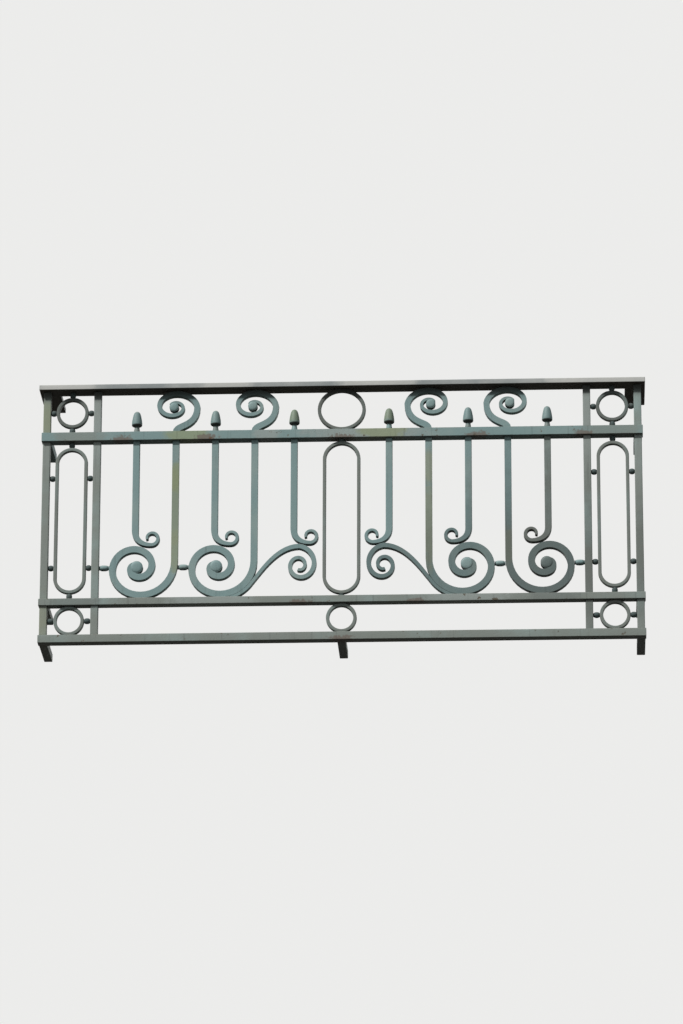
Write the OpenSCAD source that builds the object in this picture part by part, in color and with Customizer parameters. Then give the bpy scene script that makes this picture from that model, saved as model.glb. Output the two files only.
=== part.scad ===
// Wrought iron window balcony (balconet): a front panel of bars, scrolls and rings between flat rails,
// with plain rails that return to the wall at both ends.
// The wall is the plane y = 0 and the street side is -Y. The origin lies on the wall end of the
// middle stay, below the centre of the panel. Sizes are in millimetres.

/* [Whole guard] */
// Distance from the wall to the middle of the front panel
reach = 155; // [110:1:300]
// Clear height between the bottom rail and the lower rail
foot_band = 81; // [70:1:110]
// Clear height between the lower rail and the upper rail
bar_band = 440; // [400:1:560]
// Clear height between the upper rail and the handrail
crown_band = 118; // [110:1:140]
// Slack between a bar and the hole it passes through
slack = 0.3; // [0.1:0.1:0.6]

/* [Spacing] */
// From the middle of the panel to the first bar
centre_bay = 126; // [110:1:160]
// Length of the collar between a lower scroll and the next long bar, which sets the pitch of the bars
tie_len = 28; // [16:1:50]
// From the inner post to the corner post
end_bay = 135; // [120:1:170]

/* [Handrail and rails] */
// Width of the flat handrail
handrail_w = 54; // [40:1:80]
// Overhang of the handrail past the corner posts
handrail_over = 11; // [4:1:20]
// Thickness of the handrail
handrail_t = 14; // [8:1:30]
// Depth of the lower and the bottom rail, front to back
rail_d = 30; // [26:1:40]
// Depth of the upper rail, front to back
upper_d = 36; // [26:1:44]
// Overhang of the rails past the corner posts
rail_over = 3; // [2:1:10]
// Height of the upper rail
upper_h = 24; // [16:1:34]
// Height of the lower rail
lower_h = 19; // [14:1:30]
// Height of the bottom rail
bottom_h = 22; // [14:1:30]
// Width of the rails that return to the wall, and of the middle stay
return_w = 22; // [16:1:30]

/* [Posts and bars] */
// Side of the square posts
post_s = 20; // [16:1:22]
// Side of the square bars
bar_s = 18; // [14:1:20]

/* [Lower scrolls] */
// From a bar to the centre of its lower scroll
volute_reach = 100; // [92:1:104]
// How much of its radius a lower scroll keeps in a quarter turn
volute_keep = 0.8; // [0.78:0.01:0.82]
// Height of a lower scroll as a share of its width
volute_squash = 0.97; // [0.92:0.01:1]
// Turn of a lower scroll
volute_turn = 600; // [560:5:660]
// Thickness of a lower scroll at its inner end
volute_tip = 8; // [6:1:12]
// Diameter of the solid eye of a lower scroll
volute_eye = 33; // [26:1:36]

/* [Upper scrolls] */
// Offset of an upper scroll from its bar
crook_shift = 6; // [2:1:12]
// Half width of an upper scroll on its stem side
crook_reach = 62; // [56:1:66]
// How much of its radius an upper scroll keeps in a quarter turn
crook_keep = 0.79; // [0.74:0.01:0.8]
// Height of an upper scroll as a share of its width
crook_squash = 0.77; // [0.74:0.01:0.84]
// Turn of an upper scroll
crook_turn = 500; // [460:5:540]
// Thickness of an upper scroll at its inner end
crook_tip = 6; // [5:1:10]
// Diameter of the solid eye of an upper scroll
crook_eye = 25; // [18:1:28]

/* [S scrolls] */
// Offset of an S scroll from the first bar, towards the middle of the panel
ess_shift = 15; // [6:1:21]
// Largest radius of the S scroll
ess_r = 49; // [40:1:52]
// How much of its radius the S scroll keeps in a quarter turn
ess_keep = 0.79; // [0.74:0.01:0.84]
// Height of the S scroll as a share of its width
ess_squash = 1.08; // [1:0.01:1.12]
// Turn of the S scroll
ess_turn = 560; // [400:5:640]
// Thickness of the S scroll
ess_t = 13; // [8:1:15]
// Thickness of the S scroll at its inner end
ess_tip = 8; // [5:1:10]
// Thickness of its tail where it leaves the bar
ess_tail = 9; // [6:1:12]

/* [Curled bars] */
// From a short bar to the centre of the curl at its foot
curl_reach = 44; // [38:1:52]
// Radius of the curl where it starts
curl_r = 19; // [15:1:22]
// Thickness of the curl at its lowest point
curl_t = 10; // [7:1:12]
// Thickness of the curl at its end
curl_tip = 7; // [5:1:10]
// Height of the square shoulder under a bud
shoulder = 3; // [2:1:6]
// Height of the bud on top of a short bar
bud_h = 62; // [50:1:70]
// Largest width of the bud
bud_w = 28; // [22:1:34]

/* [Rings and ovals] */
// Thickness of the flat bar that rings and ovals are bent from
ring_t = 9; // [7:1:13]
// Depth of that bar
ring_d = 14; // [12:1:24]
// Length of the beads above and below a ring or an end link
bead_len = 16; // [8:1:18]
// Diameter of the beads
bead_w = 16; // [8:1:18]
// Width of the long links in the end bays
link_w = 86; // [70:1:92]
// Width of the long link in the middle
middle_w = 100; // [80:1:104]
// Length of the beads above and below the link in the middle
middle_bead = 7; // [5:1:16]
// Width of the oval in the middle of the crown band
crown_oval_w = 128; // [116:1:150]

/* [Hidden] */
$fn = 72;

// Heights: the origin is at mid height of the bottom rail
bottom_z = -bottom_h / 2;
foot_z = bottom_h / 2;
lower_z = foot_z + foot_band;
bars_z = lower_z + lower_h;
upper_z = bars_z + bar_band;
crown_z = upper_z + upper_h;
top_z = crown_z + crown_band;

// How far a lower scroll reaches past its centre, to the next bar and upwards
volute_out = volute_reach * pow(volute_keep, 2) + bar_s / 2;
volute_up = volute_squash * volute_reach * pow(volute_keep, 3) + bar_s / 2;

// Stations along the panel: bars 0 to 4 from the middle, then the inner post and the corner post
bar_pitch = (volute_reach + volute_out + tie_len + bar_s / 2) / 2;
function bar_x(i) = centre_bay + i * bar_pitch;
inner_x = bar_x(5);
corner_x = inner_x + end_bay;
post_face = corner_x + post_s / 2;
rail_half = post_face + rail_over;
handrail_half = post_face + handrail_over;

// Scrolls with a solid eye close up faster after this many quarter turns
close_from = 3.5;
close_keep = 0.94;

// Plane curves: points along the middle of a bent bar, in the plane of the panel
function curve(p0, p1, p2, p3, n = 14) = [
    for (i = [0:n]) let (t = i / n, u = 1 - t)
        u * u * u * p0 + 3 * u * u * t * p1 + 3 * u * t * t * p2 + t * t * t * p3
];
function spiral(centre, r, keep, start, sweep, squash = 1, close = 1) = [
    let (n = ceil(abs(sweep) / 9))
    for (i = [0:n]) let (turn = sweep * i / n, quarters = abs(turn) / 90,
        radius = r * pow(keep, quarters) * pow(close, pow(max(quarters - close_from, 0), 2)))
        centre + radius * [cos(start + turn), squash * sin(start + turn)]
];
function without_first(path) = [for (i = [1:len(path) - 1]) path[i]];
function backwards(path) = [for (i = [len(path) - 1:-1:0]) path[i]];

// Outline of a bar bent along a path, with its thickness at each point
function ramp(n, a, b) = [for (i = [0:n - 1]) a + (b - a) * i / max(n - 1, 1)];
function across(path, i) =
    let (n = len(path) - 1, d = path[min(i + 1, n)] - path[max(i - 1, 0)]) [-d[1], d[0]] / norm(d);
function bent(path, widths) =
    let (n = len(path) - 1) concat(
        [for (i = [0:n]) path[i] + across(path, i) * widths[i] / 2],
        [for (i = [n:-1:0]) path[i] - across(path, i) * widths[i] / 2]
    );

// Lower scroll: it starts upright below its bar and rests on the lower rail
volute_lead = atan(-ln(volute_keep) / (PI / 2));
volute_r = volute_reach / cos(volute_lead);
volute_z = bars_z + bar_s / 2 + volute_squash * volute_reach * volute_keep;
volute_even = 480;
function volute_path(x) =
    spiral([x + volute_reach, volute_z], volute_r, volute_keep, 180 - volute_lead, volute_turn,
        volute_squash, close_keep);
function volute_widths(n, more = 0) =
    let (even = round(n * volute_even / volute_turn))
        concat(ramp(even, bar_s + more, bar_s + more), ramp(n - even, bar_s + more, volute_tip + more));
function volute(x, more = 0) =
    let (path = volute_path(x)) bent(path, volute_widths(len(path), more));

// Upper scroll: it leans towards the middle and just reaches the underside of the handrail
crook_z = top_z - bar_s / 2 - crook_reach * crook_keep * crook_squash;
crook_ease = crook_reach * [0.36, 0.21];
function crook_path(x) =
    let (turn = [x + crook_shift, crook_z], left = turn - [crook_reach, 0], foot = [x, crown_z],
        stem = curve(foot, foot + [0, crook_ease[0]], [left[0], crown_z + crook_ease[1]], left, 12))
        concat(stem, without_first(spiral(turn, crook_reach, crook_keep, 180, -crook_turn,
            crook_squash, close_keep)));

// A long bar is one length, from the end of its upper scroll to the end of its lower one
function long_bar(x) =
    let (up = crook_path(x), down = volute_path(x))
        bent(concat(backwards(up), down), concat(ramp(len(up), crook_tip, bar_s), volute_widths(len(down))));

// Short bar: its foot bends towards the middle, rests on the scroll below and curls up
curl_keep = 0.87;
curl_sink = 2;
curl_ease = curl_r * [1.05, 0.42, 1.26];
function short_bar(x, seat) =
    let (turn = [x - curl_reach, seat + curl_t / 2 + curl_r - curl_sink], foot = turn - [0, curl_r],
        bend = curve([x, turn[1] + curl_ease[0]], [x, turn[1] - curl_ease[1]],
            foot + [curl_ease[2], 0], foot, 12),
        hook = without_first(spiral(turn, curl_r, curl_keep, -90, -290)))
        bent(concat([[x, crown_z + shoulder]], bend, hook),
            concat([bar_s], ramp(len(bend), bar_s, curl_t), ramp(len(hook), curl_t, curl_tip)));

// S scroll: its tail lies along the outside of a lower scroll, leaves it and rolls up near the middle
ess_x = centre_bay - ess_shift;
ess_up = ess_squash * ess_r;
ess_foot = 252;
ess_leave = 207;
ess_ease = ess_r * [0.87, 1.2];
function beside_volute(x, a, w) =
    let (radius = volute_r * pow(volute_keep, (a - 180 + volute_lead) / 90),
        outwards = [volute_squash * cos(a), sin(a)])
        [x + volute_reach, volute_z] + radius * [cos(a), volute_squash * sin(a)]
        + (bar_s + w) / 2 * outwards / norm(outwards);
function ess(more = 0) =
    let (n = 8,
        tail = [for (i = [0:n])
            beside_volute(bar_x(1), ess_foot + (ess_leave - ess_foot) * i / n, ess_tail)],
        heading = (tail[n] - tail[n - 1]) / norm(tail[n] - tail[n - 1]),
        top = [ess_x, volute_z + ess_up],
        stem = without_first(curve(tail[n], tail[n] + heading * ess_ease[0], top + [ess_ease[1], 0], top)),
        roll = without_first(spiral([ess_x, volute_z], ess_r, ess_keep, 90, ess_turn, ess_squash)))
        bent(concat(tail, stem, roll),
            concat(ramp(len(tail), ess_tail + more, ess_tail + more),
                ramp(len(stem), ess_tail + more, ess_t + more),
                ramp(len(roll), ess_t + more, ess_tip + more)));

paint = "#738684";
worn_paint = "#7a7974";

// Puts a shape drawn in the plane of the panel upright, with its depth centred on the panel
module in_panel(depth) {
    translate([0, -reach + depth / 2, 0]) rotate([90, 0, 0]) linear_extrude(height = depth) children();
}

module on_side(side) {
    if (side < 0) mirror([1, 0, 0]) children();
    else children();
}

module beam(x0, x1, y0, y1, z0, z1) {
    translate([x0, y0, z0]) cube([x1 - x0, y1 - y0, z1 - z0]);
}

// Square holes that posts and bars pass through
module bar_holes(z, h) {
    for (s = [-1, 1]) {
        for (i = [0:4]) square_hole(s * bar_x(i), bar_s, z, h);
        for (x = [inner_x, corner_x]) square_hole(s * x, post_s, z, h);
    }
}

module post_holes(z, h) {
    for (s = [-1, 1], x = [inner_x, corner_x]) square_hole(s * x, post_s, z, h);
}

module square_hole(x, size, z, h) {
    w = size + 2 * slack;
    beam(x - w / 2, x + w / 2, -reach - w / 2, -reach + w / 2, z - 1, z + h + 1);
}

module handrail_front() {
    color(worn_paint) beam(-handrail_half, handrail_half, -reach - handrail_w / 2, -reach + handrail_w / 2,
        top_z, top_z + handrail_t);
}

module handrail_return(side) {
    color(worn_paint) on_side(side) beam(handrail_half - handrail_w, handrail_half,
        -reach + handrail_w / 2, 0, top_z, top_z + handrail_t);
}

module rail_bar(z, h, d) {
    beam(-rail_half, rail_half, -reach - d / 2, -reach + d / 2, z, z + h);
}

module upper_rail() {
    color(paint) difference() {
        rail_bar(upper_z, upper_h, upper_d);
        bar_holes(upper_z, upper_h);
    }
}

module lower_rail() {
    color(paint) difference() {
        rail_bar(lower_z, lower_h, rail_d);
        post_holes(lower_z, lower_h);
    }
}

module bottom_rail() {
    color(paint) rail_bar(bottom_z, bottom_h, rail_d);
}

// Rail that runs from the back of the front rail to the wall
module wall_return(side, z, h, d) {
    color(paint) on_side(side)
        beam(corner_x - return_w / 2, corner_x + return_w / 2, -reach + d / 2, 0, z, z + h);
}

module centre_stay() {
    color(paint) beam(-return_w / 2, return_w / 2, -reach + rail_d / 2, 0, bottom_z, foot_z);
}

module post(x) {
    half = post_s / 2;
    color(paint) beam(x - half, x + half, -reach - half, -reach + half, foot_z, top_z);
}

// Long bar: a crook above the upper rail, a volute on the lower rail
module scroll_bar(side, i) {
    x = bar_x(i);
    color(paint) on_side(side) {
        in_panel(bar_s) polygon(long_bar(x));
        eye(x + volute_reach, volute_z, volute_eye);
        eye(x + crook_shift, crook_z, crook_eye);
    }
}

// Solid eye that a scroll closes on
module eye(x, z, d) {
    in_panel(bar_s) translate([x, z]) circle(d = d);
}

// Short bar: a bud above the upper rail, a curl at the foot that is seated on a scroll
module bud_bar(side, i) {
    x = bar_x(i);
    seat = volute_z + (i == 0 ? ess_up + ess_t / 2 : volute_up);
    color(paint) on_side(side) {
        in_panel(bar_s) difference() {
            polygon(short_bar(x, seat));
            if (i == 0) polygon(ess(2 * slack));
            else polygon(volute(bar_x(i - 1), 2 * slack));
        }
        translate([x, -reach, crown_z]) bud();
    }
}

// Finial shaped like a closed bud: a neck that narrows upward, a flat underside and a blunt top
module bud() {
    neck = bud_w * 0.23;
    rotate_extrude() polygon([
        [0, 0], [bar_s / 2, 0], [neck, bud_h * 0.3], [bud_w * 0.45, bud_h * 0.35], [bud_w * 0.5, bud_h * 0.41],
        [bud_w * 0.49, bud_h * 0.5], [bud_w * 0.455, bud_h * 0.62], [bud_w * 0.405, bud_h * 0.74],
        [bud_w * 0.35, bud_h * 0.85], [bud_w * 0.28, bud_h * 0.93], [bud_w * 0.16, bud_h * 0.985], [0, bud_h]
    ]);
}

module s_scroll(side) {
    color(paint) on_side(side) in_panel(bar_s) difference() {
        polygon(ess());
        polygon(volute(bar_x(1), 2 * slack));
        translate([0, lower_z]) square([post_face, lower_h + slack]);
    }
}

// Round collars between a volute and the bar or post beside it
module scroll_ties(side) {
    color(paint) on_side(side) {
        level_bead(bar_x(1) + volute_reach + volute_out, volute_z, tie_len);
        level_bead(bar_x(3) + volute_reach + volute_out, volute_z, tie_len + (bar_s - post_s) / 2);
    }
}

// Bead: a small barrel along +Z with flat ends
module bead(len) {
    rotate_extrude() polygon([
        [0, 0], [bead_w * 0.3, 0], [bead_w * 0.46, len * 0.25], [bead_w * 0.5, len * 0.5],
        [bead_w * 0.46, len * 0.75], [bead_w * 0.3, len], [0, len]
    ]);
}

// Closed link: straight sides with round ends, or an oval where it is wider than tall
module link_outline(w, h, t) {
    difference() {
        capsule(w, h);
        capsule(w - 2 * t, h - 2 * t);
    }
}

module capsule(w, h) {
    for (s = [-1, 1]) {
        translate([0, s * max(h - w, 0) / 2]) intersection() {
            circle(d = min(w, h));
            square([w, h], center = true);
        }
    }
    if (h > w) square([w, h - w], center = true);
}

module ring(x, z, d) {
    translate([x, 0, z]) in_panel(ring_d) difference() {
        circle(d = d);
        circle(d = d - 2 * ring_t);
    }
}

module upright_bead(x, z, len) {
    translate([x, -reach, z]) bead(len);
}

module level_bead(x, z, len) {
    translate([x, -reach, z]) rotate([0, 90, 0]) bead(len);
}

end_x = (inner_x + corner_x) / 2;
end_clear = end_bay - post_s;
crown_ring_d = crown_band - 2 * bead_len;

// Beads run this far into the ring or link they carry
sink = 1;

// Pair of beads between the two end posts and what stands between them
module side_beads(z, gap) {
    level_bead(inner_x + post_s / 2, z, gap + sink);
    level_bead(corner_x - post_s / 2 - gap - sink, z, gap + sink);
}

module crown_ring(side) {
    z = crown_z + crown_band / 2;
    color(paint) on_side(side) {
        ring(end_x, z, crown_ring_d);
        upright_bead(end_x, crown_z, bead_len + sink);
        upright_bead(end_x, top_z - bead_len - sink, bead_len + sink);
        side_beads(z, (end_clear - crown_ring_d) / 2);
    }
}

module crown_oval() {
    z = crown_z + crown_band / 2;
    color(paint) translate([0, 0, z]) in_panel(ring_d) difference() {
        oval(crown_oval_w, crown_band);
        oval(crown_oval_w - 2 * ring_t, crown_band - 2 * ring_t);
    }
}

module oval(w, h) {
    polygon([for (a = [0:5:355]) [w / 2 * cos(a), h / 2 * sin(a)]]);
}

module long_link(x, w, gap) {
    translate([x, 0, bars_z + bar_band / 2]) in_panel(ring_d) link_outline(w, bar_band - 2 * gap, ring_t);
    upright_bead(x, bars_z, gap + sink);
    upright_bead(x, upper_z - gap - sink, gap + sink);
}

module end_link(side) {
    color(paint) on_side(side) {
        long_link(end_x, link_w, bead_len);
        for (part = [0.2, 0.77]) side_beads(bars_z + bar_band * part, (end_clear - link_w) / 2);
    }
}

module foot_ring(x) {
    ring(x, foot_z + foot_band / 2, foot_band);
}

module end_foot_ring(side) {
    color(paint) on_side(side) {
        foot_ring(end_x);
        side_beads(foot_z + foot_band / 2, (end_clear - foot_band) / 2);
    }
}

handrail_front();
handrail_return(-1);  // handrail_return_left
handrail_return(1);  // handrail_return_right
upper_rail();
lower_rail();
bottom_rail();
wall_return(-1, upper_z, upper_h, upper_d);  // upper_return_left
wall_return(1, upper_z, upper_h, upper_d);  // upper_return_right
wall_return(-1, lower_z, lower_h, rail_d);  // lower_return_left
wall_return(1, lower_z, lower_h, rail_d);  // lower_return_right
wall_return(-1, bottom_z, bottom_h, rail_d);  // bottom_return_left
wall_return(1, bottom_z, bottom_h, rail_d);  // bottom_return_right
centre_stay();
post(-corner_x);  // corner_post_left
post(corner_x);  // corner_post_right
post(-inner_x);  // inner_post_left
post(inner_x);  // inner_post_right
scroll_bar(-1, 1);  // scroll_bar_left_inner
scroll_bar(-1, 3);  // scroll_bar_left_outer
scroll_bar(1, 1);  // scroll_bar_right_inner
scroll_bar(1, 3);  // scroll_bar_right_outer
bud_bar(-1, 0);  // bud_bar_left_inner
bud_bar(-1, 2);  // bud_bar_left_middle
bud_bar(-1, 4);  // bud_bar_left_outer
bud_bar(1, 0);  // bud_bar_right_inner
bud_bar(1, 2);  // bud_bar_right_middle
bud_bar(1, 4);  // bud_bar_right_outer
s_scroll(-1);  // s_scroll_left
s_scroll(1);  // s_scroll_right
scroll_ties(-1);  // scroll_ties_left
scroll_ties(1);  // scroll_ties_right
crown_ring(-1);  // crown_ring_left
crown_oval();
crown_ring(1);  // crown_ring_right
end_link(-1);  // long_link_left
color(paint) long_link(0, middle_w, middle_bead);  // long_link_centre
end_link(1);  // long_link_right
end_foot_ring(-1);  // foot_ring_left
color(paint) foot_ring(0);  // foot_ring_centre
end_foot_ring(1);  // foot_ring_right
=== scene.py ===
import bpy
import math
from mathutils import Matrix, Quaternion, Vector


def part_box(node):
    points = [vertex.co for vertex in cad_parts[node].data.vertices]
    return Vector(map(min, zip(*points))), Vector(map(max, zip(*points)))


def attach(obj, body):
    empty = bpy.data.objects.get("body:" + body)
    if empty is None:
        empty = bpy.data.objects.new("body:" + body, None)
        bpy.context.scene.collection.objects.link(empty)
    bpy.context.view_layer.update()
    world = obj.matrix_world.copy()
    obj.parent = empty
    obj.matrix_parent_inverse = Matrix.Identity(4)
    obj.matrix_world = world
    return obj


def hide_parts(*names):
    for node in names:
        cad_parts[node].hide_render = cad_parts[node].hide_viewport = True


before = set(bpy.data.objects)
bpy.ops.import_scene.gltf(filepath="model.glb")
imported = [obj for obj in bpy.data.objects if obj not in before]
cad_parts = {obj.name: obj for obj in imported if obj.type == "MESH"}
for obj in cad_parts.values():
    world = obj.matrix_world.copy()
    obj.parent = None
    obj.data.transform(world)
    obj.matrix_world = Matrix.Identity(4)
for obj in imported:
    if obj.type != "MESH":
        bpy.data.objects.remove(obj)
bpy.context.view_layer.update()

mm = 0.001
panelDepth = -0.155  # where the middle of the front panel stands, seen from the wall

# Where the photographer stood in the street, and the lens that crops the picture to the guard
cameraSetup = {
    "place": (0.61, -13.36, -4.24),
    "aim": (0.0, -0.16, 0.345),
    "roll": 0.13,
    "lens": 186.0,
}

studio = {
    "background": (0.84, 0.84, 0.83, 1),
    "fill": (0.34, 0.36, 0.38, 1),
    "sunWay": (-1.0, -1.0, 1.5),  # towards the lamp, from the upper left in front
    "sunStrength": 4.1,
    "sunSoftness": 5.0,
    "floorBelow": 5.85,  # down to the street
    "floorSize": 90.0,
    "floorColour": (0.6, 0.6, 0.59, 1),
    "floorGlow": (0.11, 0.104, 0.096, 1),  # what the floor sends back up at the undersides
}


def deselectAll():
    bpy.ops.object.select_all(action="DESELECT")


def pick(piece):
    deselectAll()
    piece.select_set(True)
    bpy.context.view_layer.objects.active = piece


def makeCamera(setup):
    data = bpy.data.cameras.new("photoView")
    camera = bpy.data.objects.new("photoView", data)
    bpy.context.scene.collection.objects.link(camera)
    camera.location = setup["place"]
    away = Vector(setup["aim"]) - Vector(setup["place"])
    roll = Quaternion((0, 0, 1), math.radians(setup["roll"]))
    camera.rotation_mode = "QUATERNION"
    camera.rotation_quaternion = away.to_track_quat("-Z", "Y") @ roll
    data.sensor_width = 36
    data.lens = setup["lens"]
    data.clip_end = 300
    bpy.context.scene.camera = camera


def makeLight(setup):
    lamp = bpy.data.lights.new("keyLight", "SUN")
    lamp.energy = setup["sunStrength"]
    lamp.angle = math.radians(setup["sunSoftness"])
    holder = bpy.data.objects.new("keyLight", lamp)
    holder.rotation_mode = "QUATERNION"
    holder.rotation_quaternion = Vector(setup["sunWay"]).to_track_quat("Z", "Y")
    bpy.context.scene.collection.objects.link(holder)


# The camera sees a pale ground, and the guard is filled by a dimmer even light
def makeBackground(setup):
    world = bpy.data.worlds.new("paleStudio")
    bpy.context.scene.world = world
    world.use_nodes = True
    tree = world.node_tree
    tree.nodes.clear()
    seen = tree.nodes.new("ShaderNodeBackground")
    seen.inputs["Color"].default_value = setup["background"]
    fill = tree.nodes.new("ShaderNodeBackground")
    fill.inputs["Color"].default_value = setup["fill"]
    path = tree.nodes.new("ShaderNodeLightPath")
    mirrored = tree.nodes.new("ShaderNodeMath")
    mirrored.operation = "MAXIMUM"
    direct = tree.nodes.new("ShaderNodeMath")
    direct.operation = "MAXIMUM"
    mix = tree.nodes.new("ShaderNodeMixShader")
    out = tree.nodes.new("ShaderNodeOutputWorld")
    tree.links.new(path.outputs["Is Glossy Ray"], mirrored.inputs[0])
    tree.links.new(path.outputs["Is Transmission Ray"], mirrored.inputs[1])
    tree.links.new(path.outputs["Is Camera Ray"], direct.inputs[0])
    tree.links.new(mirrored.outputs[0], direct.inputs[1])
    tree.links.new(direct.outputs[0], mix.inputs["Fac"])
    tree.links.new(fill.outputs[0], mix.inputs[1])
    tree.links.new(seen.outputs[0], mix.inputs[2])
    tree.links.new(mix.outputs[0], out.inputs["Surface"])


def makeFloor(setup):
    deselectAll()
    bpy.ops.mesh.primitive_plane_add(size=setup["floorSize"], location=(0, 0, -setup["floorBelow"]))
    floor = bpy.context.active_object
    floor.name = "studioFloor"
    material = bpy.data.materials.new("paleFloor")
    material.use_nodes = True
    tree = material.node_tree
    pale = tree.nodes["Principled BSDF"]
    pale.inputs["Base Color"].default_value = setup["floorColour"]
    pale.inputs["Roughness"].default_value = 0.9
    glow = tree.nodes.new("ShaderNodeBsdfDiffuse")
    glow.inputs["Color"].default_value = setup["floorGlow"]
    path = tree.nodes.new("ShaderNodeLightPath")
    mix = tree.nodes.new("ShaderNodeMixShader")
    tree.links.new(path.outputs["Is Camera Ray"], mix.inputs["Fac"])
    tree.links.new(glow.outputs[0], mix.inputs[1])
    tree.links.new(pale.outputs[0], mix.inputs[2])
    tree.links.new(mix.outputs[0], tree.nodes["Material Output"].inputs["Surface"])
    floor.data.materials.append(material)


bpy.context.scene.view_settings.view_transform = "Standard"
makeCamera(cameraSetup)
makeLight(studio)
makeBackground(studio)
makeFloor(studio)
print("camera, light and floor are in place")


# Node helpers: add a node, feed its sockets with a value or another node's output
def addNode(tree, kind, settings=None, feeds=None):
    made = tree.nodes.new("ShaderNode" + kind)
    made.location = (200 * (len(tree.nodes) % 10), -280 * (len(tree.nodes) // 10))
    for key, value in (settings or {}).items():
        setattr(made, key, value)
    for key, value in (feeds or {}).items():
        if isinstance(value, bpy.types.NodeSocket):
            tree.links.new(value, made.inputs[key])
        else:
            made.inputs[key].default_value = value
    return made


def mathNode(tree, operation, first, second=0.0):
    return addNode(tree, "Math", {"operation": operation}, {0: first, 1: second}).outputs[0]


def smoothStep(tree, value, low, high, outLow=0.0, outHigh=1.0):
    settings = {"interpolation_type": "SMOOTHSTEP"}
    feeds = {"Value": value, "From Min": low, "From Max": high, "To Min": outLow, "To Max": outHigh}
    return addNode(tree, "MapRange", settings, feeds).outputs["Result"]


def noise(tree, where, scale, detail=4.0, rough=0.55, seed=0.0):
    settings = {"noise_dimensions": "4D"}
    feeds = {"Vector": where, "Scale": scale, "Detail": detail, "Roughness": rough, "W": seed}
    return addNode(tree, "TexNoise", settings, feeds).outputs[0]


def layer(tree, under, over, mask):
    mix = addNode(tree, "Mix", {"data_type": "RGBA"}, {0: mask, 6: under, 7: over})
    return mix.outputs[2]


def newGroup(name, inputs, outputs):
    tree = bpy.data.node_groups.new(name, "ShaderNodeTree")
    for label, kind, value in inputs:
        socket = tree.interface.new_socket(label, in_out="INPUT", socket_type="NodeSocket" + kind)
        if value is not None:
            socket.default_value = value
    for label in outputs:
        tree.interface.new_socket(label, in_out="OUTPUT", socket_type="NodeSocketFloat")
    start = tree.nodes.new("NodeGroupInput")
    end = tree.nodes.new("NodeGroupOutput")
    return tree, start.outputs, end.inputs


def useGroup(tree, group, feeds=None):
    made = addNode(tree, "Group", {"node_tree": group}, feeds)
    return made.outputs


# Ragged patches, where paint has faded, lichen grows or flakes are gone
def makePatchGroup():
    tree, given, out = newGroup(
        "raggedPatches",
        [("Where", "Vector", None), ("Scale", "Float", 10.0), ("Cover", "Float", 0.3),
         ("Softness", "Float", 0.06), ("Seed", "Float", 0.0)],
        ["Mask"],
    )
    field = noise(tree, given["Where"], given["Scale"], 6.0, 0.6, given["Seed"])
    level = smoothStep(tree, given["Cover"], 0.0, 1.0, 0.78, 0.24)
    low = mathNode(tree, "SUBTRACT", level, given["Softness"])
    high = mathNode(tree, "ADD", level, given["Softness"])
    tree.links.new(smoothStep(tree, field, low, high), out["Mask"])
    return tree


# Narrow upright streaks that rain leaves
def makeRunsGroup():
    tree, given, out = newGroup(
        "rainRuns",
        [("Where", "Vector", None), ("Width", "Float", 0.006), ("Cover", "Float", 0.4)],
        ["Mask"])
    perWidth = mathNode(tree, "DIVIDE", 1.0, given["Width"])
    feeds = {0: given["Where"], 1: (1.0, 1.0, 0.05)}
    squeezed = addNode(tree, "VectorMath", {"operation": "MULTIPLY"}, feeds).outputs[0]
    field = noise(tree, squeezed, perWidth, 3.0, 0.5)
    level = smoothStep(tree, given["Cover"], 0.0, 1.0, 0.75, 0.3)
    tree.links.new(smoothStep(tree, field, level, mathNode(tree, "ADD", level, 0.14)), out["Mask"])
    return tree


# One stain around a point, such as rust that starts at a joint
def makeStainGroup():
    tree, given, out = newGroup(
        "stainAt",
        [("Where", "Vector", None), ("Centre", "Vector", (0, 0, 0)),
         ("Size", "Vector", (0.05, 0.05, 0.05)), ("Ragged", "Float", 0.6), ("Grain", "Float", 45.0)],
        ["Mask"])
    away = addNode(tree, "VectorMath", {"operation": "SUBTRACT"}, {0: given["Where"], 1: given["Centre"]})
    scaled = addNode(tree, "VectorMath", {"operation": "DIVIDE"}, {0: away.outputs[0], 1: given["Size"]})
    far = addNode(tree, "VectorMath", {"operation": "LENGTH"}, {0: scaled.outputs[0]}).outputs["Value"]
    field = mathNode(tree, "SUBTRACT", noise(tree, given["Where"], given["Grain"], 5.0, 0.65), 0.5)
    torn = mathNode(tree, "ADD", far, mathNode(tree, "MULTIPLY", field, given["Ragged"]))
    tree.links.new(smoothStep(tree, torn, 1.0, 0.55), out["Mask"])
    return tree


# Worn edges: where the rounded normal turns away from the face's own
def makeWornEdgeGroup():
    tree, given, out = newGroup(
        "wornEdge",
        [("Where", "Vector", None), ("Radius", "Float", 0.003), ("Wear", "Float", 0.5)],
        ["Mask"])
    rounded = addNode(tree, "Bevel", {"samples": 4}, {"Radius": given["Radius"]}).outputs["Normal"]
    plain = addNode(tree, "NewGeometry").outputs["Normal"]
    same = addNode(tree, "VectorMath", {"operation": "DOT_PRODUCT"}, {0: rounded, 1: plain})
    edge = smoothStep(tree, same.outputs["Value"], 0.995, 0.86)
    field = noise(tree, given["Where"], 70.0, 5.0, 0.65)
    level = smoothStep(tree, given["Wear"], 0.0, 1.0, 0.72, 0.34)
    broken = smoothStep(tree, field, level, mathNode(tree, "ADD", level, 0.1))
    tree.links.new(mathNode(tree, "MULTIPLY", edge, broken), out["Mask"])
    return tree


# Dirt and painted shade in corners and seats, from ambient occlusion
def makeCornerGroup():
    tree, given, out = newGroup("cornerDirtAndShade", [("Reach", "Float", 0.02)], ["Mask"])
    shut = addNode(tree, "AmbientOcclusion", {"samples": 8}, {"Distance": given["Reach"]}).outputs["AO"]
    tree.links.new(smoothStep(tree, shut, 0.85, 0.3), out["Mask"])
    return tree


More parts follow.
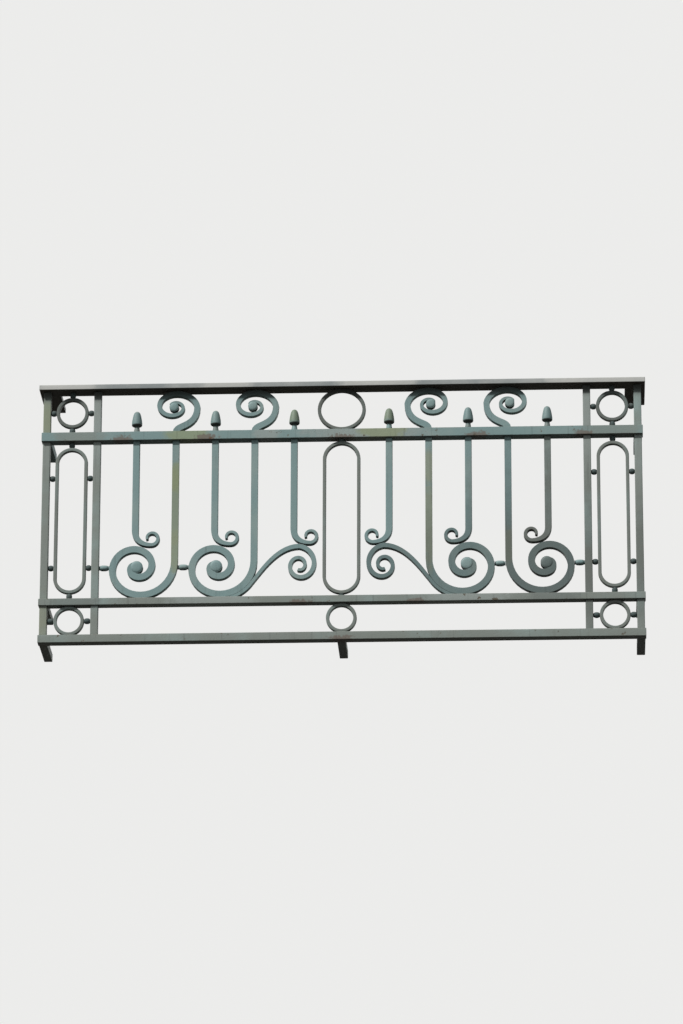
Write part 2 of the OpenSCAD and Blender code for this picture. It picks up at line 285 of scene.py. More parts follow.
# Which way a face looks: up, down, or out to the street
def makeFacingGroup():
    tree, given, out = newGroup("facing", [], ["Up", "Down", "Street"])
    normal = addNode(tree, "TexCoord").outputs["Normal"]
    axes = addNode(tree, "SeparateXYZ", None, {0: normal}).outputs
    tree.links.new(smoothStep(tree, axes["Z"], 0.35, 0.9), out["Up"])
    tree.links.new(smoothStep(tree, axes["Z"], -0.35, -0.9), out["Down"])
    tree.links.new(smoothStep(tree, axes["Y"], -0.35, -0.9), out["Street"])
    return tree


# Brushed coats over pitted iron, with the flakes standing lower
def makeCoatGroup():
    tree, given, out = newGroup(
        "coatHeight", [("Where", "Vector", None), ("Gone", "Float", 0.0)], ["Height"])
    pits = smoothStep(tree, noise(tree, given["Where"], 260.0, 4.0, 0.6), 0.3, 0.62)
    waves = noise(tree, given["Where"], 34.0, 3.0, 0.5)
    pitted = mathNode(tree, "MULTIPLY", pits, 0.25)
    body = mathNode(tree, "ADD", pitted, mathNode(tree, "MULTIPLY", waves, 0.5))
    lost = mathNode(tree, "MULTIPLY", given["Gone"], 0.55)
    tree.links.new(mathNode(tree, "SUBTRACT", body, lost), out["Height"])
    return tree


patchGroup = makePatchGroup()
runsGroup = makeRunsGroup()
stainGroup = makeStainGroup()
wornEdgeGroup = makeWornEdgeGroup()
cornerGroup = makeCornerGroup()
facingGroup = makeFacingGroup()
coatGroup = makeCoatGroup()
print("shader groups are made")


def newMaterial(name):
    material = bpy.data.materials.new(name)
    material.use_nodes = True
    tree = material.node_tree
    return material, tree, tree.nodes["Principled BSDF"], addNode(tree, "TexCoord").outputs["Object"]


ironPaint = {
    "sage": (0.178, 0.262, 0.256, 1),
    "stone": (0.195, 0.216, 0.192, 1),
    "dull": (0.145, 0.162, 0.148, 1),
    "pale": (0.27, 0.3, 0.28, 1),
    "beige": (0.245, 0.258, 0.175, 1),
    "olive": (0.235, 0.262, 0.165, 1),
    "faded": (0.235, 0.3, 0.28, 1),
    "lichen": (0.235, 0.268, 0.14, 1),
    "chalk": (0.4, 0.41, 0.35, 1),
    "undercoat": (0.115, 0.1, 0.075, 1),
    "rust": (0.17, 0.08, 0.042, 1),
    "rustStain": (0.14, 0.115, 0.095, 1),
    # dark grime, also laid on as painted shade and painted shadow
    "grime": (0.022, 0.021, 0.019, 1),
    "fadedCover": 0.4,
    "flakeCover": 0.22,
    "wear": 0.5,
    "rustCover": 0.35,
    "gloss": 0.25,
    "handrailShadowFrom": 0.655,  # painted shadow of the handrail: darkens what stands close under it
    "handrailShadowFull": 0.684,
    "soot": 0.78,
    # how strongly painted shade darkens every face that looks down
    "undersideShade": 0.62,
    # how torn, how fine and how strong a stain is: one of paint or lichen, then one of rust
    "stainEdges": ((1.1, 45.0, 0.7), (3.2, 120.0, 0.85)),
}

# Where stains show on the rails: centre and size of each, in metres
upperStains = {
    "stone": [((-0.7, -0.17, 0.563), (0.08, 0.06, 0.05)), ((0.72, -0.17, 0.563), (0.1, 0.06, 0.05))],
    "pale": [((0.06, -0.17, 0.563), (0.2, 0.06, 0.05)), ((-0.2, -0.17, 0.563), (0.04, 0.06, 0.05))],
    "lichen": [((-0.41, -0.175, 0.566), (0.07, 0.06, 0.04)), ((0.11, -0.175, 0.57), (0.08, 0.06, 0.03))],
    "rustStain": [
        ((-0.585, -0.17, 0.554), (0.028, 0.06, 0.012)),
        ((-0.36, -0.17, 0.554), (0.035, 0.06, 0.012)),
        ((0.0, -0.17, 0.551), (0.045, 0.06, 0.011)),
        ((0.36, -0.17, 0.553), (0.03, 0.06, 0.012)),
        ((0.64, -0.17, 0.554), (0.03, 0.06, 0.012)),
    ],
}
lowerStains = {
    "pale": [((-0.34, -0.17, 0.1), (0.14, 0.06, 0.05)), ((0.33, -0.17, 0.1), (0.14, 0.06, 0.05))],
    "dull": [((-0.7, -0.17, 0.1), (0.08, 0.06, 0.03)), ((0.56, -0.17, 0.1), (0.08, 0.06, 0.03))],
    "rustStain": [
        ((-0.11, -0.17, 0.092), (0.035, 0.05, 0.01)),
        ((0.2, -0.17, 0.092), (0.03, 0.05, 0.01)),
        ((0.0, -0.17, -0.008), (0.04, 0.05, 0.01)),
    ],
}
stemStains = {
    "olive": [((-0.441, -0.155, 0.36), (0.03, 0.06, 0.15)), ((-0.441, -0.155, 0.24), (0.03, 0.06, 0.07))],
    "lichen": [((-0.441, -0.155, 0.45), (0.03, 0.06, 0.05))],
}
innerStemStains = {
    "beige": [((0.231, -0.155, 0.3), (0.03, 0.06, 0.15)), ((0.231, -0.155, 0.47), (0.03, 0.06, 0.06))],
}
outerStemStains = {"beige": [((0.441, -0.155, 0.24), (0.03, 0.06, 0.07))]}


# The old paint of the whole guard: a coat that faded in patches, rain runs, flakes down to the
# undercoat and rust, dirt and painted shade in the corners, painted shade under every ledge
def paintedIron(name, look, coat="sage", bands=(), stains=None, dark=0.0, chips=0.0):
    material, tree, shader, where = newMaterial(name)
    height = addNode(tree, "SeparateXYZ", None, {0: where}).outputs["Z"]
    wave = mathNode(tree, "SUBTRACT", noise(tree, where, 30.0), 0.5)
    faded = useGroup(tree, patchGroup, {
        "Where": where, "Scale": 7.0, "Cover": look["fadedCover"], "Softness": 0.16})
    colour = layer(tree, look[coat], look["faded"], faded["Mask"])
    green = useGroup(tree, patchGroup, {
        "Where": where, "Scale": 9.0, "Cover": 0.16, "Softness": 0.12, "Seed": 3.0})
    colour = layer(tree, colour, look["olive"], mathNode(tree, "MULTIPLY", green["Mask"], 0.35))
    for stainColour, places in (stains or {}).items():
        ragged, grain, strength = look["stainEdges"][stainColour == "rustStain"]
        for centre, size in places:
            stain = useGroup(tree, stainGroup, {
                "Where": where, "Centre": centre, "Size": size, "Ragged": ragged, "Grain": grain})
            shown = mathNode(tree, "MULTIPLY", stain["Mask"], strength)
            colour = layer(tree, colour, look[stainColour], shown)
    for band, low, high, fade, strength in bands:
        ragged = mathNode(tree, "ADD", height, mathNode(tree, "MULTIPLY", wave, 2 * fade))
        rise = smoothStep(tree, ragged, low - fade, low + fade)
        fall = smoothStep(tree, ragged, high + fade, high - fade)
        inside = mathNode(tree, "MULTIPLY", mathNode(tree, "MULTIPLY", rise, fall), strength)
        colour = layer(tree, colour, look[band], inside)
    facing = useGroup(tree, facingGroup)
    weathered = useGroup(tree, patchGroup, {
        "Where": where, "Scale": 22.0, "Cover": 0.5, "Softness": 0.08, "Seed": 5.0})
    topMask = mathNode(tree, "MULTIPLY", facing["Up"], weathered["Mask"])
    colour = layer(tree, colour, look["chalk"], mathNode(tree, "MULTIPLY", topMask, 0.6))
    runs = useGroup(tree, runsGroup, {"Where": where, "Width": 0.008, "Cover": 0.42})
    colour = layer(tree, colour, look["grime"], mathNode(tree, "MULTIPLY", runs["Mask"], 0.22 + dark))
    flakes = useGroup(tree, patchGroup, {
        "Where": where, "Scale": 48.0, "Cover": look["flakeCover"] + chips, "Softness": 0.02,
        "Seed": 8.0})
    wear = {"Where": where, "Radius": 0.003, "Wear": look["wear"] + chips}
    edge = useGroup(tree, wornEdgeGroup, wear)
    gone = mathNode(tree, "MAXIMUM", flakes["Mask"], edge["Mask"])
    rusty = useGroup(tree, patchGroup, {
        "Where": where, "Scale": 14.0, "Cover": look["rustCover"], "Softness": 0.1, "Seed": 11.0})
    bare = layer(tree, look["undercoat"], look["rust"], rusty["Mask"])
    colour = layer(tree, colour, bare, gone)
    # Dirt and painted shade in the corners, painted shade on every face that looks down
    corner = useGroup(tree, cornerGroup, {"Reach": 0.018})
    dirtAndShade = mathNode(tree, "MAXIMUM", mathNode(tree, "MULTIPLY", corner["Mask"], 0.75),
                    mathNode(tree, "MULTIPLY", facing["Down"], look["undersideShade"]))
    # Painted shadow of the handrail over the tops of the bars, posts and rings
    soot = smoothStep(tree, height, look["handrailShadowFrom"], look["handrailShadowFull"])
    dirtAndShade = mathNode(tree, "MAXIMUM", dirtAndShade, mathNode(tree, "MULTIPLY", soot, look["soot"]))
    # An even darkening over the whole piece; on the balls partly dirt and partly painted shade
    if dark:
        dirtAndShade = mathNode(tree, "MAXIMUM", dirtAndShade, dark)
    colour = layer(tree, colour, look["grime"], dirtAndShade)
    tree.links.new(colour, shader.inputs["Base Color"])
    rough = smoothStep(tree, mathNode(tree, "MAXIMUM", gone, dirtAndShade), 0.0, 1.0, 0.55, 0.92)
    tree.links.new(rough, shader.inputs["Roughness"])
    shader.inputs["Specular IOR Level"].default_value = look["gloss"]
    coat = useGroup(tree, coatGroup, {"Where": where, "Gone": gone})
    bump = addNode(tree, "Bump", None, {"Strength": 0.7, "Distance": 0.0006, "Height": coat["Height"]})
    tree.links.new(bump.outputs["Normal"], shader.inputs["Normal"])
    return material


handrailPaint = {
    "coat": (0.235, 0.255, 0.252, 1),
    "worn": (0.54, 0.53, 0.49, 1),
    # brown black painted shade on the faces that look down
    "undersideShade": (0.024, 0.02, 0.014, 1),
    "rust": (0.13, 0.085, 0.06, 1),
    "flakeCover": 0.2,
    "wear": 0.4,
    "gloss": 0.25,
    # where the front is bleached most: place along the rail and half length
    "bleached": [(-0.74, 0.09), (-0.31, 0.08), (0.1, 0.13), (0.7, 0.2)],
}


# Bleached above and in front, and a brown black painted shade on the underside
def paintedHandrail(name, look):
    material, tree, shader, where = newMaterial(name)
    worn = useGroup(tree, patchGroup, {"Where": where, "Scale": 6.0, "Cover": 0.5, "Softness": 0.15})
    colour = layer(tree, look["coat"], look["worn"], mathNode(tree, "MULTIPLY", worn["Mask"], 0.5))
    for place, half in look["bleached"]:
        stain = useGroup(tree, stainGroup, {
            "Where": where, "Centre": (place, -0.182, 0.7), "Size": (half, 0.05, 0.05), "Ragged": 0.9})
        colour = layer(tree, colour, look["worn"], mathNode(tree, "MULTIPLY", stain["Mask"], 0.6))
    flakes = useGroup(tree, patchGroup, {
        "Where": where, "Scale": 38.0, "Cover": look["flakeCover"], "Softness": 0.025, "Seed": 4.0})
    edge = useGroup(tree, wornEdgeGroup, {"Where": where, "Radius": 0.003, "Wear": look["wear"]})
    gone = mathNode(tree, "MAXIMUM", flakes["Mask"], edge["Mask"])
    colour = layer(tree, colour, look["rust"], gone)
    facing = useGroup(tree, facingGroup)
    # painted shade on the underside
    colour = layer(tree, colour, look["undersideShade"], mathNode(tree, "MULTIPLY", facing["Down"], 0.96))
    tree.links.new(colour, shader.inputs["Base Color"])
    rough = smoothStep(tree, mathNode(tree, "MAXIMUM", gone, facing["Down"]), 0.0, 1.0, 0.55, 0.9)
    tree.links.new(rough, shader.inputs["Roughness"])
    shader.inputs["Specular IOR Level"].default_value = look["gloss"]
    coat = useGroup(tree, coatGroup, {"Where": where, "Gone": gone})
    bump = addNode(tree, "Bump", None, {"Strength": 0.7, "Distance": 0.0006, "Height": coat["Height"]})
    tree.links.new(bump.outputs["Normal"], shader.inputs["Normal"])
    return material


sagePaint = paintedIron("sagePaint", ironPaint)
# painted shadow over the lower part, darker towards the bottom
sageLowPaint = paintedIron("sageLowPaint", ironPaint, bands=[("grime", 0.0, 0.42, 0.16, 0.36)])
stonePaint = paintedIron("stonePaint", ironPaint, coat="stone", bands=[("pale", 0.5, 0.7, 0.08, 0.6)])
stoneOlivePaint = paintedIron("stoneOlivePaint", ironPaint, coat="stone", bands=[
    ("pale", 0.48, 0.56, 0.06, 0.4), ("olive", 0.57, 0.66, 0.03, 0.7), ("beige", 0.0, 0.1, 0.05, 0.6)])
# pale coat above, painted shadow over the lower part
stoneLowPaint = paintedIron("stoneLowPaint", ironPaint, coat="stone", bands=[
    ("pale", 0.49, 0.7, 0.06, 0.6), ("grime", 0.0, 0.36, 0.16, 0.38)])
# painted shadow over the lower middle
stoneCornerPaint = paintedIron("stoneCornerPaint", ironPaint, coat="stone", bands=[
    ("pale", 0.42, 0.56, 0.04, 0.25), ("grime", 0.06, 0.34, 0.1, 0.3)])
# painted shadow from 0.1 m to 0.5 m, and a little under the upper rail
shadyStonePaint = paintedIron("shadyStonePaint", ironPaint, coat="stone", bands=[
    ("grime", 0.1, 0.5, 0.14, 0.4), ("grime", 0.48, 0.57, 0.03, 0.1)])
oliveBarPaint = paintedIron("oliveBarPaint", ironPaint, stains=stemStains, bands=[
    ("grime", 0.3, 0.62, 0.06, 0.1)])
# beige stains on the stem, painted shadow over the lower part
beigeBarPaint = paintedIron("beigeBarPaint", ironPaint, stains=innerStemStains, bands=[
    ("grime", 0.0, 0.34, 0.12, 0.36)])
# dull coat low down and painted shadow over the lower part
shadyBarPaint = paintedIron("shadyBarPaint", ironPaint, stains=outerStemStains, bands=[
    ("dull", 0.0, 0.32, 0.06, 0.45), ("grime", 0.0, 0.56, 0.03, 0.14), ("grime", 0.0, 0.4, 0.14, 0.36)])
upperRailPaint = paintedIron("upperRailPaint", ironPaint, stains=upperStains, chips=0.1)
lowerRailPaint = paintedIron("lowerRailPaint", ironPaint, coat="stone", stains=lowerStains, chips=0.1)
# rust on the neck, a band of painted shade under the bud, and the bud a little darker
budPaint = paintedIron("budPaint", ironPaint, bands=[
    ("rustStain", 0.5, 0.59, 0.004, 0.5), ("grime", 0.5905, 0.599, 0.0018, 0.92),
    ("grime", 0.6, 0.65, 0.004, 0.17)])
# lichen on the bud, a band of painted shade under it, and the bud a little darker
mossyBudPaint = paintedIron("mossyBudPaint", ironPaint, bands=[
    ("lichen", 0.6, 0.64, 0.008, 0.55), ("grime", 0.5905, 0.599, 0.0018, 0.92),
    ("grime", 0.6, 0.65, 0.004, 0.25)])
# darker all over, and painted shadow of the handrail over the crown rings
bentPaint = paintedIron("bentPaint", ironPaint, coat="stone", bands=[
    ("grime", -0.1, 0.8, 0.05, 0.22), ("grime", 0.58, 0.8, 0.01, 0.34)])
# the balls dark all over: partly dirt, partly painted shade
beadPaint = paintedIron("beadPaint", ironPaint, dark=0.72)
handrailCoat = paintedHandrail("handrailCoat", handrailPaint)
print("paints are mixed")


def applyModifiers(piece):
    pick(piece)
    for modifier in list(piece.modifiers):
        bpy.ops.object.modifier_apply(modifier=modifier.name)


# Rounds the edges of forged iron, and keeps its flats flat
def roundEdges(piece, radius, sharpness=32):
    edges = piece.modifiers.new("roundedEdges", "BEVEL")
    edges.width = radius
    edges.segments = 2
    edges.limit_method = "ANGLE"
    edges.angle_limit = math.radians(sharpness)
    edges.miter_outer = "MITER_ARC"
    applyModifiers(piece)
    pick(piece)
    bpy.ops.object.shade_smooth_by_angle(angle=math.radians(50))
    flats = piece.modifiers.new("flatFaces", "WEIGHTED_NORMAL")
    flats.keep_sharp = True
    applyModifiers(piece)


def finish(piece, material):
    piece.data.materials.clear()
    piece.data.materials.append(material)
    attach(piece, "root")


# A copy of a CAD node with whole faces, ready to be worked on
def cleanCopy(node, name):
    piece = bpy.data.objects.new(name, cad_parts[node].data.copy())
    bpy.context.scene.collection.objects.link(piece)
    pick(piece)
    bpy.ops.object.mode_set(mode="EDIT")
    bpy.ops.mesh.select_all(action="SELECT")
    bpy.ops.mesh.remove_doubles(threshold=0.00001)
    bpy.ops.mesh.dissolve_limited(angle_limit=math.radians(0.5))
    bpy.ops.object.mode_set(mode="OBJECT")
    return piece


# Selects the faces that a test picks, and leaves the piece in edit mode
def selectFaces(piece, wanted):
    pick(piece)
    bpy.ops.object.mode_set(mode="EDIT")
    bpy.ops.mesh.select_mode(type="FACE")
    bpy.ops.mesh.select_all(action="DESELECT")
    bpy.ops.object.mode_set(mode="OBJECT")
    for face in piece.data.polygons:
        face.select = wanted(face)
    bpy.ops.object.mode_set(mode="EDIT")


def leaveEditing(piece):
    bpy.ops.mesh.select_all(action="SELECT")
    bpy.ops.mesh.normals_make_consistent(inside=False)
    bpy.ops.object.mode_set(mode="OBJECT")


# A turned piece along Z: a short cylinder whose end is drawn up, station by station, and widened
# or narrowed there
def makeTurned(name, stations, around):
    deselectAll()
    low, high = stations[:2]
    bpy.ops.mesh.primitive_cylinder_add(
        vertices=around, radius=low[1], depth=high[0] - low[0], location=(0, 0, (low[0] + high[0]) / 2))
    piece = bpy.context.active_object
    piece.name = name
    bpy.ops.object.transform_apply(location=True, rotation=True, scale=True)
    selectFaces(piece, lambda face: face.normal.z > 0.9)
    grow = high[1] / low[1]
    bpy.ops.transform.resize(value=(grow, grow, 1), center_override=(0, 0, high[0]))
    for before, after in zip(stations[1:], stations[2:]):
        bpy.ops.mesh.extrude_region_move(TRANSFORM_OT_translate={"value": (0, 0, after[0] - before[0])})
        grow = after[1] / before[1]
        bpy.ops.transform.resize(value=(grow, grow, 1), center_override=(0, 0, after[0]))
    leaveEditing(piece)
    return piece


# Flat bar bent to a ring, a long link or an oval: a disc along Y, drawn out, inset and opened
def makeBent(name, wide, high, thick, deep):
    deselectAll()
    bpy.ops.mesh.primitive_cylinder_add(
        vertices=96, radius=wide / 2, depth=deep, location=(0, 0, 0), rotation=(math.pi / 2, 0, 0))
    piece = bpy.context.active_object
    piece.name = name
    bpy.ops.object.transform_apply(location=True, rotation=True, scale=True)
    if high > wide:
        for way in (1, -1):
            pick(piece)
            bpy.ops.object.mode_set(mode="EDIT")
            bpy.ops.mesh.select_mode(type="VERT")
            bpy.ops.mesh.select_all(action="DESELECT")
            bpy.ops.object.mode_set(mode="OBJECT")
            for corner in piece.data.vertices:
                corner.select = corner.co.z * way > 0.0001
            bpy.ops.object.mode_set(mode="EDIT")
            bpy.ops.transform.translate(value=(0, 0, way * (high - wide) / 2))
            bpy.ops.object.mode_set(mode="OBJECT")
    selectFaces(piece, lambda face: True)
    if high < wide:
        bpy.ops.transform.resize(value=(1, 1, high / wide), center_override=(0, 0, 0))
    bpy.ops.object.mode_set(mode="OBJECT")
    selectFaces(piece, lambda face: abs(face.normal.y) > 0.9)
    bpy.ops.mesh.inset(thickness=thick)
    bpy.ops.mesh.bridge_edge_loops()
    leaveEditing(piece)
    return piece


# A copy with its own mesh, turned and moved there
def copyOf(master, name, matrix):
    piece = bpy.data.objects.new(name, master.data.copy())
    bpy.context.scene.collection.objects.link(piece)
    piece.data.transform(matrix)
    return piece


def paint(piece, material):
    piece.data.materials.clear()
    piece.data.materials.append(material)


# Joins pieces that keep their own paints, and lets the result stand for a node
def joinFor(node, pieces):
    pick(pieces[0])
    for piece in pieces[1:]:
        piece.select_set(True)
    bpy.ops.object.join()
    whole = bpy.context.active_object
    whole.name = pieceName(node)
    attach(whole, "root")
    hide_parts(node)


flatIron = {"edge": 1.6 * mm}
squareIron = {"edge": 1.8 * mm}

railPaints = {"upper": upperRailPaint, "lower": lowerRailPaint, "bottom": lowerRailPaint}
notchedRails = ["upper_rail", "lower_rail"]  # bars or posts pass through these
handrailNodes = ["handrail_front", "handrail_return_left", "handrail_return_right"]
barPaints = {
    "corner_post_left": stoneOlivePaint,
    "corner_post_right": stoneCornerPaint,
    "inner_post_left": stonePaint,
    "inner_post_right": stoneLowPaint,
    "scroll_bar_left_inner": sagePaint,
    "scroll_bar_left_outer": oliveBarPaint,
    "scroll_bar_right_inner": beigeBarPaint,
    "scroll_bar_right_outer": shadyBarPaint,
    "s_scroll_left": sagePaint,
    "s_scroll_right": sageLowPaint,
}
budBars = {
    "bud_bar_left_inner": (sagePaint, mossyBudPaint),
    "bud_bar_left_middle": (sagePaint, budPaint),
    "bud_bar_left_outer": (sagePaint, budPaint),
    "bud_bar_right_inner": (sagePaint, mossyBudPaint),
    "bud_bar_right_middle": (sageLowPaint, budPaint),
    "bud_bar_right_outer": (shadyStonePaint, budPaint),
}


def pieceName(node):
    words = node.split("_")
    return words[0] + "".join(word.capitalize() for word in words[1:])


# Splits the flats that go round a hole, so that they don't fold over it when its edges are rounded
def splitRoundHoles(piece):
    pick(piece)
    bpy.ops.object.mode_set(mode="EDIT")
    bpy.ops.mesh.select_all(action="SELECT")
    bpy.ops.mesh.vert_connect_concave()
    bpy.ops.object.mode_set(mode="OBJECT")


def makeForged(node, edge, material):
    piece = cleanCopy(node, pieceName(node))
    if node in notchedRails:
        splitRoundHoles(piece)
    roundEdges(piece, edge)
    finish(piece, material)
    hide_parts(node)
    return piece


for node in handrailNodes:
    makeForged(node, flatIron["edge"], handrailCoat)
for level, material in railPaints.items():
    for piece in ("rail", "return_left", "return_right"):
        makeForged(f"{level}_{piece}", flatIron["edge"], material)
makeForged("centre_stay", flatIron["edge"], lowerRailPaint)
for node, material in barPaints.items():
    makeForged(node, squareIron["edge"], material)
print("rails, posts and long bars are forged")


# Bud: a neck that narrows upward, a flat underside, a blunt top. Height above the shoulder, radius
bud = {
    "stations": [
        (0.0, 8.5), (1.0, 8.6), (4.0, 8.0), (9.0, 7.1), (14.0, 6.5), (15.6, 6.5), (16.2, 8.5),
        (17.6, 12.0), (18.6, 13.2), (20.4, 13.9), (23.0, 14.0), (28.0, 13.7), (35.5, 12.7),
        (43.0, 11.3), (49.7, 9.7), (54.0, 8.0), (56.8, 5.8), (58.4, 3.2), (59.0, 0.8)],
    "shoulder": 3.0 * mm,
    "cutUnder": 0.05 * mm,  # the cut stays clear of the face that the shoulder has there
    "sink": 0.2 * mm,  # how far the bud goes into its bar
    "straight": 50 * mm,  # the bar is straight at least this far under its bud
}


def inMetres(stations):
    return [(place * mm, radius * mm) for place, radius in stations]


def smoothOver(piece, angle):
    pick(piece)
    bpy.ops.object.shade_smooth_by_angle(angle=math.radians(angle))


# The square part of a short bar keeps its curl and ends at the shoulder, where the turned bud starts
def makeBudBar(node, barMaterial, budMaterial, master, setup):
    bar = cleanCopy(node, pieceName(node))
    low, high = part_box(node)
    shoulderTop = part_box("upper_rail")[1][2] + setup["shoulder"] - setup["cutUnder"]
    pick(bar)
    bpy.ops.object.mode_set(mode="EDIT")
    bpy.ops.mesh.select_all(action="SELECT")
    bpy.ops.mesh.bisect(
        plane_co=(0, 0, shoulderTop), plane_no=(0, 0, 1), clear_outer=True, use_fill=True,
        threshold=0.000001)
    leaveEditing(bar)
    roundEdges(bar, squareIron["edge"])
    paint(bar, barMaterial)
    top = max(bar.data.vertices, key=lambda corner: corner.co.z).co.z
    straight = [corner.co.x for corner in bar.data.vertices if corner.co.z > top - setup["straight"]]
    middle = (min(straight) + max(straight)) / 2
    depth = (low[1] + high[1]) / 2
    seat = shoulderTop - setup["sink"]
    head = copyOf(master, "bud", Matrix.Translation((middle, depth, seat)))
    paint(head, budMaterial)
    joinFor(node, [bar, head])


budMaster = makeTurned("budMaster", inMetres(bud["stations"]), around=32)
smoothOver(budMaster, 50)
for node, (barMaterial, budMaterial) in budBars.items():
    makeBudBar(node, barMaterial, budMaterial, budMaster, bud)
bpy.data.objects.remove(budMaster)
print("short bars have their buds")


# Domed eyes that close the lower and the upper scrolls
eyes = {
    # parts of an eye's width: on top of the dome, on its shoulder, and where it meets the bar
    "dome": (0.35, 0.7, 0.94),
    "shoulderDrop": 0.45,  # from the top of the dome down to its shoulder
    "seat": 1.5,  # over this depth the eye widens to its full size inside the bar
    "lowerWide": 33.0,
    "upperWide": 25.0,
    "proud": 1.6,  # how far the dome stands out of the bar
    "barDeep": 18.0,
    "lowerFromBar": 100.0,
    "upperFromBar": 6.0,
    "lowerHeight": 197.6,
    "upperHeight": 646.3,
}


def eyeStations(wide, setup):
    half = setup["barDeep"] / 2
    out = half + setup["proud"]
    rim = wide / 2
    top, shoulder, foot = [rim * part for part in setup["dome"]]
    drop, seat = setup["shoulderDrop"], setup["seat"]
    return [(-out, top), (-out + drop, shoulder), (-half, foot), (-half + seat, rim),
            (half - seat, rim), (half, foot), (out - drop, shoulder), (out, top)]


def makeEyes(setup, stems):
    for name, wide, fromBar, height in (
            ("lowerEye", setup["lowerWide"], setup["lowerFromBar"], setup["lowerHeight"]),
            ("upperEye", setup["upperWide"], setup["upperFromBar"], setup["upperHeight"])):
        master = makeTurned(name, inMetres(eyeStations(wide, setup)), around=40)
        smoothOver(master, 50)
        for node, (stem, material) in stems.items():
            way = 1 if stem > 0 else -1
            place = Matrix.Translation((stem + way * fromBar * mm, panelDepth, height * mm))
            turned = place @ Matrix.Rotation(math.pi / 2, 4, "X")
            eye = copyOf(master, name + "Of" + pieceName(node).removeprefix("scrollBar"), turned)
            finish(eye, material)
        bpy.data.objects.remove(master)


# Where the stem of each long bar stands, and the paint of its eyes
stems = {
    "scroll_bar_left_inner": (-0.231, sagePaint),
    "scroll_bar_left_outer": (-0.441, sagePaint),
    "scroll_bar_right_inner": (0.231, sagePaint),
    "scroll_bar_right_outer": (0.441, shadyBarPaint),
}
makeEyes(eyes, stems)
print("scrolls have their eyes")


# Balls between the rings or links and what holds them
beads = {
    "profile": [(0.0, 0.6), (0.06, 0.62), (0.13, 0.76), (0.26, 0.93), (0.5, 1.0),
                (0.74, 0.93), (0.87, 0.76), (0.94, 0.62), (1.0, 0.6)],
    "wide": 16.0,
    "sink": 1.0,  # how far a ball goes into what it joins
}
bent = {"thick": 9.0, "deep": 14.0, "edge": 1.4 * mm}
ends = {"inner": 0.661, "outer": 0.776, "middle": 0.7185}  # faces of the two end posts, and half way


def beadBetween(first, second):
    start = Vector(first)
    along = Vector(second) - start
    full = beads["wide"] * mm / 2
    stations = [(part * along.length, radius * full) for part, radius in beads["profile"]]
    bead = makeTurned("bead", stations, around=24)
    smoothOver(bead, 60)
    turn = along.to_track_quat("Z", "Y").to_matrix().to_4x4()
    bead.data.transform(Matrix.Translation(start) @ turn)
    paint(bead, beadPaint)
    return bead


# Balls above and below a ring, as long as the room between it and the rails
def uprightBeads(x, low, high, room):
    sink = beads["sink"] * mm
    y = panelDepth
    return [beadBetween((x, y, low - sink / 2), (x, y, low + room + sink)),
            beadBetween((x, y, high - room - sink), (x, y, high + sink / 2))]


# Balls at both sides of a ring, between the end posts
def sideBeads(way, z, room):
    sink = beads["sink"] * mm
    y = panelDepth
    inner = way * ends["inner"]
    outer = way * ends["outer"]
    return [beadBetween((inner - way * sink / 2, y, z), (inner + way * (room + sink), y, z)),
            beadBetween((outer - way * (room + sink), y, z), (outer + way * sink / 2, y, z))]


def placeBent(name, x, z, wide, high):
    piece = makeBent(name, wide, high, bent["thick"] * mm, bent["deep"] * mm)
    piece.data.transform(Matrix.Translation((x, panelDepth, z)))
    roundEdges(piece, bent["edge"])
    paint(piece, bentPaint)
    return piece


rings = {
    "crownBead": 16.0,  # length of the balls above and below the crown rings and the end links
    "linkWide": 86.0,
    "middleWide": 100.0,
    "middleBead": 7.0,
    "sideBeadsAt": (0.2, 0.77),  # parts of the height of an end link
}


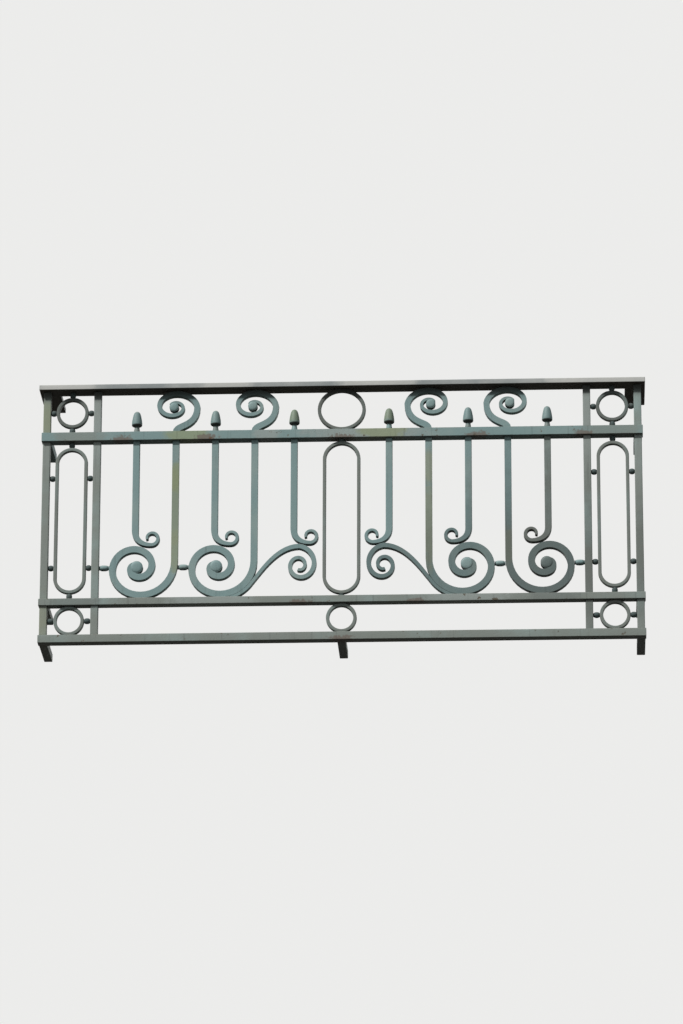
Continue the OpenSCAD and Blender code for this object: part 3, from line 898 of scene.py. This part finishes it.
def makeRings(setup):
    room = ends["outer"] - ends["inner"]
    for way, side in ((-1, "left"), (1, "right")):
        x = way * ends["middle"]
        low, high = [corner[2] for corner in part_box(f"crown_ring_{side}")]
        gap = setup["crownBead"] * mm
        wide = high - low - 2 * gap
        z = (low + high) / 2
        pieces = [placeBent("ring", x, z, wide, wide)]
        pieces += uprightBeads(x, low, high, gap) + sideBeads(way, z, (room - wide) / 2)
        joinFor(f"crown_ring_{side}", pieces)

        low, high = [corner[2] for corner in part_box(f"long_link_{side}")]
        wide = setup["linkWide"] * mm
        pieces = [placeBent("link", x, (low + high) / 2, wide, high - low - 2 * gap)]
        pieces += uprightBeads(x, low, high, gap)
        for part in setup["sideBeadsAt"]:
            pieces += sideBeads(way, low + part * (high - low), (room - wide) / 2)
        joinFor(f"long_link_{side}", pieces)

        low, high = [corner[2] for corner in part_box(f"foot_ring_{side}")]
        wide = high - low
        pieces = [placeBent("ring", x, (low + high) / 2, wide, wide)]
        pieces += sideBeads(way, (low + high) / 2, (room - wide) / 2)
        joinFor(f"foot_ring_{side}", pieces)

    low, high = [corner[2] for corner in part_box("foot_ring_centre")]
    joinFor("foot_ring_centre", [placeBent("ring", 0, (low + high) / 2, high - low, high - low)])
    low, high = [corner[2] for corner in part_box("long_link_centre")]
    gap = setup["middleBead"] * mm
    link = placeBent("link", 0, (low + high) / 2, setup["middleWide"] * mm, high - low - 2 * gap)
    joinFor("long_link_centre", [link] + uprightBeads(0, low, high, gap))
    low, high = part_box("crown_oval")
    middle = (low[2] + high[2]) / 2
    joinFor("crown_oval", [placeBent("oval", 0, middle, high[0] - low[0], high[2] - low[2])])


makeRings(rings)
print("rings, links and the oval are bent")


# Collars between the lower scrolls and the bar or post beside them
collar = {
    "profile": [(0.0, 0.72), (0.07, 0.74), (0.09, 0.62), (0.16, 0.84), (0.3, 0.97), (0.5, 1.0),
                (0.7, 0.97), (0.84, 0.84), (0.91, 0.62), (0.93, 0.74), (1.0, 0.72)],
    "wide": 16.0,
    "spans": ((404.0, 432.0), (614.0, 641.0)),  # from a scroll to the bar or post beside it
    "sink": 0.3,  # how far the ends go into what they join
    "height": 197.6,
}


def makeCollars(setup):
    for way, side in ((-1, "left"), (1, "right")):
        pieces = []
        for near, far in setup["spans"]:
            long = (far - near + 2 * setup["sink"]) * mm
            full = setup["wide"] * mm / 2
            stations = [(part * long, radius * full) for part, radius in setup["profile"]]
            barrel = makeTurned("collar", stations, around=28)
            smoothOver(barrel, 50)
            start = way * (near - setup["sink"]) * mm
            place = Matrix.Translation((start, panelDepth, setup["height"] * mm))
            barrel.data.transform(place @ Matrix.Rotation(way * math.pi / 2, 4, "Y"))
            paint(barrel, sagePaint)
            pieces.append(barrel)
        joinFor(f"scroll_ties_{side}", pieces)


makeCollars(collar)
print("collars are in place")
